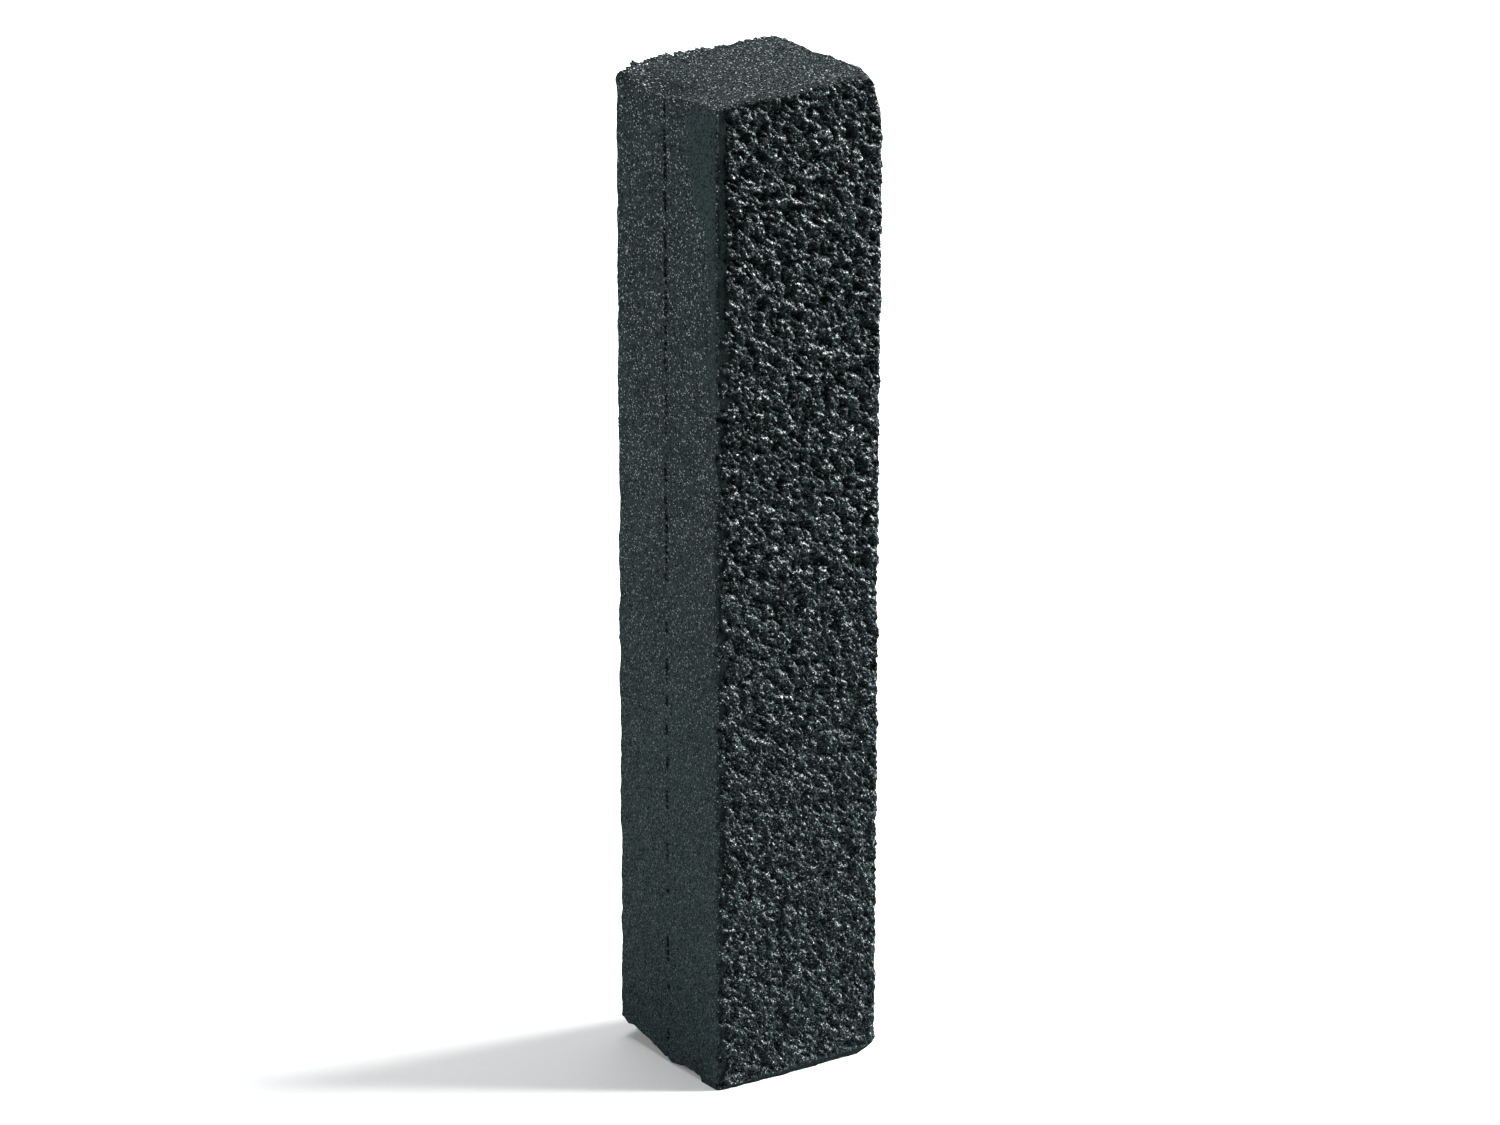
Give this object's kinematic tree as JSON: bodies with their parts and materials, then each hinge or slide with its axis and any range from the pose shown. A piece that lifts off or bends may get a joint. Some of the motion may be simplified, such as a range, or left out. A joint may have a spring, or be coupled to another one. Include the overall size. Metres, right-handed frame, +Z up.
{
  "type": "charcoal stick",
  "caption": "Square stick of compressed charcoal, two pressed layers bonded along its length, rough on the broad faces and sawn on the rest.",
  "frame": {"origin": "middle of the bottom end, on the surface that the stick stands on", "axes": "+Z up along the stick's length, X from sawn side to sawn side, Y across the two pressed layers with the front slab towards -Y"},
  "size_m": [0.0142, 0.0136, 0.0762],
  "materials": {
    "pressed_charcoal_front": "matt black pressed charcoal with glinting grains, broken open on the broad face and sawn on the others",
    "pressed_charcoal_rear": "matt black pressed charcoal with glinting grains, broken open on the broad face and sawn on the others",
    "binder_film": "dull black dried binder and charcoal dust"
  },
  "bodies": {
    "root": {"front_slab": "pressed_charcoal_front", "rear_slab": "pressed_charcoal_rear", "bond_layer": "binder_film"}
  },
  "joints": []
}
